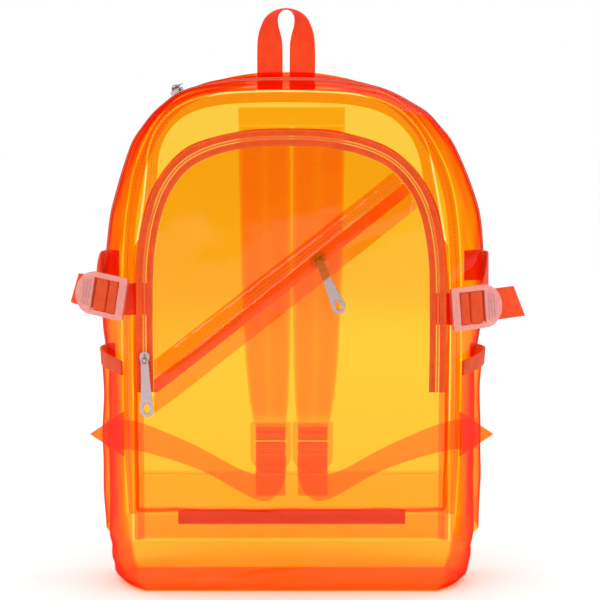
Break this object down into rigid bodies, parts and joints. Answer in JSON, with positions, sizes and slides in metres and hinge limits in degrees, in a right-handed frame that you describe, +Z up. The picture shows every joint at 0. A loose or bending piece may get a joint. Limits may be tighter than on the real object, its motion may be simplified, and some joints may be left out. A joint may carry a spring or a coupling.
{
  "type": "clear stadium backpack",
  "caption": "See-through orange PVC backpack with an arched zip front pocket, a diagonal flap, side pockets, buckled side straps, a carry handle and padded shoulder straps.",
  "frame": {"origin": "centre of the flat underside of the boot, on the ground plane", "axes": "+Z up along the bag's height, the zipped front pocket faces -Y, +X to the right seen from the front"},
  "size_m": [0.3611, 0.1742, 0.4647],
  "materials": {
    "clear_pvc": "clear and glossy",
    "zip_cloth": "woven tape",
    "webbing": "ribbed webbing",
    "strap_pad": "padded cloth",
    "frosted_buckle": "frosted",
    "pull_metal": "polished"
  },
  "bodies": {
    "root": {"front_panel": "clear_pvc", "back_panel": "clear_pvc", "front_seam_binding": "zip_cloth", "back_seam_binding": "zip_cloth", "side_panel_left": "clear_pvc", "side_panel_right": "clear_pvc", "gusset_front_strip": "clear_pvc", "gusset_back_strip": "clear_pvc", "main_zip_tape_front": "zip_cloth", "main_zip_tape_back": "zip_cloth", "main_zip_coil": "zip_cloth", "base_boot": "clear_pvc", "pocket_zip_tape_outer": "zip_cloth", "pocket_zip_tape_inner": "zip_cloth", "pocket_zip_coil": "zip_cloth", "pocket_front_upper": "clear_pvc", "pocket_front_lower": "clear_pvc", "pocket_lower_band": "clear_pvc", "diagonal_flap": "clear_pvc", "diagonal_zip_tape": "zip_cloth", "pocket_inner_sheet": "clear_pvc", "pocket_zip_slider": "pull_metal", "diagonal_zip_slider": "pull_metal", "diagonal_zip_pull": "pull_metal", "main_zip_slider": "pull_metal", "main_zip_pull": "pull_metal", "side_pocket_left": "clear_pvc", "side_pocket_binding_left": "zip_cloth", "side_pocket_right": "clear_pvc", "side_pocket_binding_right": "zip_cloth", "side_buckle_left": "frosted_buckle", "side_strap_fixed_left": "webbing", "side_strap_adjust_left": "webbing", "side_buckle_right": "frosted_buckle", "side_strap_fixed_right": "webbing", "side_strap_adjust_right": "webbing", "pocket_wall": "clear_pvc", "carry_handle": "webbing", "strap_yoke": "clear_pvc", "shoulder_strap_left": "strap_pad", "strap_ladder_left": "frosted_buckle", "strap_loop_left": "clear_pvc", "corner_tab_left": "clear_pvc", "lower_webbing_left": "clear_pvc", "shoulder_strap_right": "strap_pad", "strap_ladder_right": "frosted_buckle", "strap_loop_right": "clear_pvc", "corner_tab_right": "clear_pvc", "lower_webbing_right": "clear_pvc", "back_base_tape": "zip_cloth"},
    "pocket_pull": {"pocket_zip_pull": "pull_metal"}
  },
  "joints": [
    {"name": "pocket_pull_swing", "type": "hinge", "parent": "root", "child": "pocket_pull", "pos_m": [-0.115, -0.0835, 0.1921], "axis": [-0.999, 0, -0.0436], "range_deg": [0, 150]}
  ]
}
